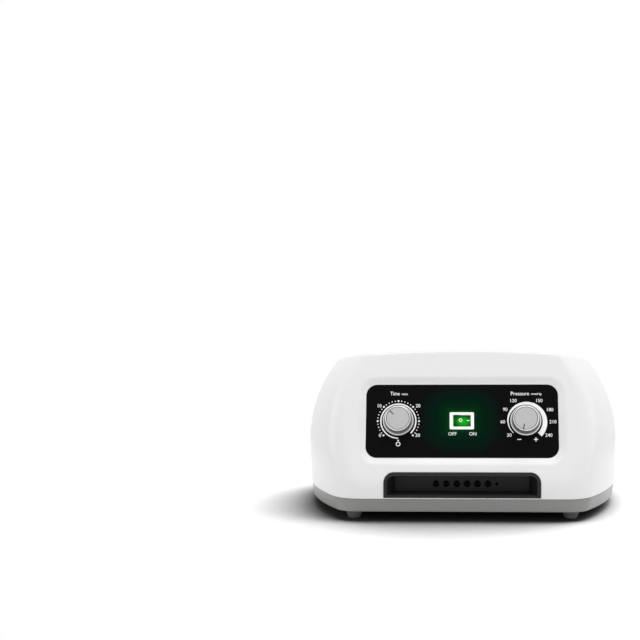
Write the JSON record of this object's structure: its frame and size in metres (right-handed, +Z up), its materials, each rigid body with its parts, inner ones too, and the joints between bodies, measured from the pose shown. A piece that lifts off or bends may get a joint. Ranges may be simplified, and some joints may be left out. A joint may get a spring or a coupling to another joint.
{
  "type": "compression therapy pump",
  "caption": "Table-top air compression therapy pump: bulged white case on a grey base, leaning black panel with two rotary dials and a lit rocker switch, and a front bay of hose sockets.",
  "frame": {"origin": "centre of the footprint, on the plane of the feet", "axes": "+X to the right seen from the front, +Y from front to rear, +Z up"},
  "size_m": [0.2848, 0.2, 0.1448],
  "materials": {
    "housing_white": "moulded white plastic with a soft sheen",
    "base_grey": "moulded mid-grey plastic",
    "panel_black": "black printed panel, satin",
    "bay_black": "black moulded plastic",
    "inner_grey_plastic": "grey moulded plastic",
    "seal_rubber": "black rubber",
    "steel": "zinc-plated steel",
    "ivory_plastic": "ivory moulded plastic",
    "knob_silver": "satin silver lacquer",
    "brass": "plain brass",
    "switch_white": "white moulded plastic",
    "rocker_green": "translucent green plastic, lit from behind",
    "lamp_glass": "clear glass",
    "acetal_white": "natural acetal",
    "motor_steel": "painted steel can",
    "clear_tube": "clear silicone tube",
    "bed_aluminium": "plain aluminium",
    "core_iron": "laminated iron",
    "coil_tape": "coil wrapped in amber tape",
    "filter_felt": "pressed felt",
    "inlet_black": "black moulded plastic",
    "wire_brown": "brown insulated wire",
    "label_silver": "blank silver label",
    "foot_rubber": "translucent grey rubber"
  },
  "bodies": {
    "pump_case": {"upper_housing": "housing_white", "lower_housing": "base_grey", "control_panel": "panel_black", "hose_bay": "bay_black", "hose_manifold": "inner_grey_plastic", "port_seals": "seal_rubber", "manifold_screws": "steel", "timer_body": "ivory_plastic", "timer_cover": "ivory_plastic", "timer_nut": "steel", "timer_terminals": "brass", "regulator_body": "inner_grey_plastic", "regulator_cap": "inner_grey_plastic", "regulator_nut": "steel", "regulator_spring": "steel", "relief_valve": "brass", "switch_body": "switch_white", "switch_lamp": "lamp_glass", "switch_terminals": "brass", "distributor_body": "acetal_white", "distributor_cover": "acetal_white", "distributor_motor": "motor_steel", "distributor_screws": "steel", "motor_screws": "steel", "port_tubes": "clear_tube", "supply_tube": "clear_tube", "link_tube": "clear_tube", "regulator_tube": "clear_tube", "compressor_bed": "bed_aluminium", "compressor_mounts": "seal_rubber", "stator_cores": "core_iron", "stator_coils": "coil_tape", "core_screws": "steel", "diaphragms": "seal_rubber", "pump_heads": "acetal_white", "head_screws": "steel", "intake_filters": "filter_felt", "mains_inlet": "inlet_black", "inlet_pins": "steel", "inlet_screws": "steel", "terminal_block": "ivory_plastic", "wiring": "wire_brown", "rating_plate": "label_silver", "feet": "foot_rubber", "foot_screws": "steel", "case_screws": "steel"},
    "timer_control": {"timer_shaft": "steel", "timer_knob": "knob_silver"},
    "pressure_control": {"pressure_shaft": "steel", "pressure_knob": "knob_silver"},
    "regulator_follower": {"spring_follower": "brass"},
    "power_rocker": {"switch_rocker": "rocker_green"},
    "distributor_rotor": {"valve_disc": "acetal_white", "distributor_shaft": "steel"},
    "compressor_armature": {"armature": "bed_aluminium", "armature_magnets": "core_iron"},
    "fuse_holder": {"fuse_drawer": "inlet_black", "fuse": "lamp_glass"}
  },
  "joints": [
    {"name": "timer_dial_turn", "type": "hinge", "parent": "pump_case", "child": "timer_control", "pos_m": [-0.055, -0.07737, 0.0845], "axis": [0, -0.9354, 0.3535], "range_deg": [-180, 135]},
    {"name": "pressure_dial_turn", "type": "hinge", "parent": "pump_case", "child": "pressure_control", "pos_m": [0.055, -0.07737, 0.0845], "axis": [0, -0.9354, 0.3535], "range_deg": [-300, 0]},
    {"name": "follower_slide", "type": "slide", "parent": "pump_case", "child": "regulator_follower", "axis": [0, -0.9354, 0.3535], "range_m": [-0.003, 0], "deforming": ["regulator_spring"]},
    {"name": "power_rocker_tilt", "type": "hinge", "parent": "pump_case", "child": "power_rocker", "pos_m": [0, -0.0754, 0.08376], "axis": [0, 0.3535, 0.9354], "range_deg": [-20, 0]},
    {"name": "distributor_spin", "type": "hinge", "parent": "pump_case", "child": "distributor_rotor", "pos_m": [0, 0.014, 0.034], "axis": [0, 0, 1], "continuous": true},
    {"name": "armature_stroke", "type": "slide", "parent": "pump_case", "child": "compressor_armature", "axis": [0, 1, 0], "range_m": [-0.0012, 0.0012], "stiffness_N_per_m": 4000, "deforming": ["diaphragms"]},
    {"name": "fuse_drawer_slide", "type": "slide", "parent": "pump_case", "child": "fuse_holder", "axis": [0, 1, 0], "range_m": [0, 0.018]}
  ],
  "couplings": [
    {"joint": "follower_slide", "follows": "pressure_dial_turn", "m_per_rad": 0.00057296}
  ]
}
